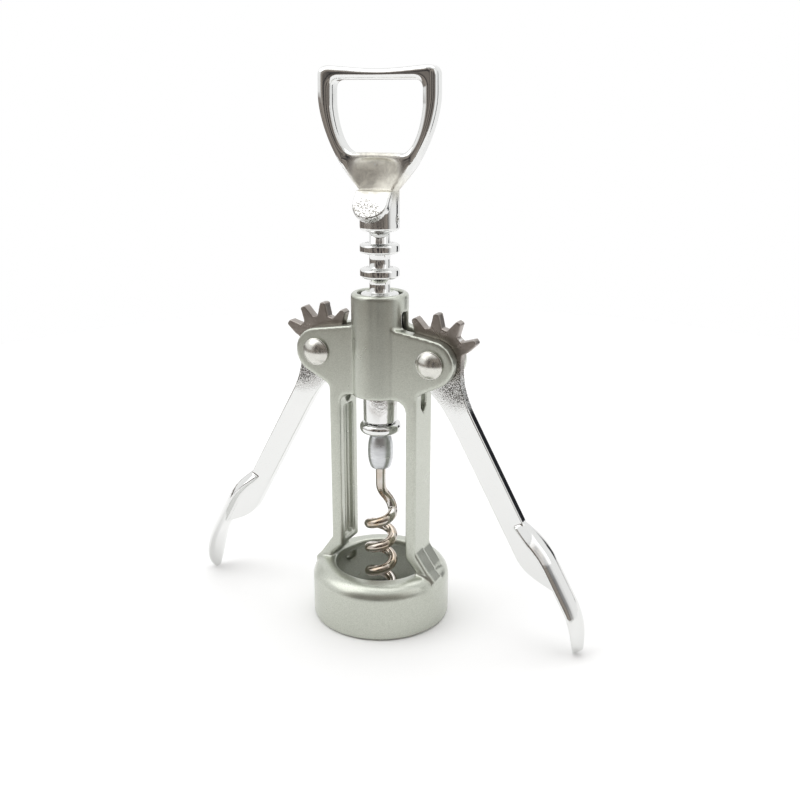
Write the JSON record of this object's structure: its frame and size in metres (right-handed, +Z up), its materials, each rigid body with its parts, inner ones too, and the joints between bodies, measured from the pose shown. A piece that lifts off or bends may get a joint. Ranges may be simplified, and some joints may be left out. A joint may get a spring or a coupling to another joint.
{
  "type": "lever corkscrew",
  "caption": "Wing corkscrew: two geared levers lift a ringed spindle with a wire worm and a bottle-opener handle out of a painted frame that stands on the bottle.",
  "frame": {"origin": "centre of the bell ring's rest face, on the worm's axis", "axes": "+Z up along the worm and the barrel, +X towards the right lever, -Y towards the opener tongue"},
  "size_m": [0.131, 0.042, 0.162],
  "materials": {
    "frame_paint": "satin metallic paint, pale olive grey with fine flake",
    "chrome": "bright chrome plating on a zinc die casting, grainy where it was not polished",
    "rivet_nickel": "polished nickel-plated steel",
    "ferrule_satin": "satin, faintly blue",
    "worm_steel": "polished bare steel wire"
  },
  "bodies": {
    "frame": {"frame": "frame_paint", "left_rivet": "rivet_nickel", "right_rivet": "rivet_nickel"},
    "slider": {"stop_ring": "chrome"},
    "spindle": {"rack_spindle": "chrome", "handle": "chrome", "handle_pin": "rivet_nickel", "worm_ferrule": "ferrule_satin", "worm": "worm_steel"},
    "left_lever": {"left_lever": "chrome"},
    "right_lever": {"right_lever": "chrome"}
  },
  "joints": [
    {"name": "rack_lift", "type": "slide", "parent": "frame", "child": "slider", "axis": [0, 0, 1], "range_m": [-0.0225, 0.0056]},
    {"name": "handle_turn", "type": "hinge", "parent": "slider", "child": "spindle", "pos_m": [0, 0, 0.0825], "axis": [0, 0, 1], "continuous": true},
    {"name": "left_lever_swing", "type": "hinge", "parent": "frame", "child": "left_lever", "pos_m": [-0.0182, 0, 0.0825], "axis": [0, 1, 0], "range_deg": [-24.4, 97.4]},
    {"name": "right_lever_swing", "type": "hinge", "parent": "frame", "child": "right_lever", "pos_m": [0.0182, 0, 0.0825], "axis": [0, -1, 0], "range_deg": [-24.4, 97.4]}
  ],
  "couplings": [
    {"joint": "left_lever_swing", "follows": "rack_lift", "rad_per_m": -75.358},
    {"joint": "right_lever_swing", "follows": "rack_lift", "rad_per_m": -75.358}
  ]
}
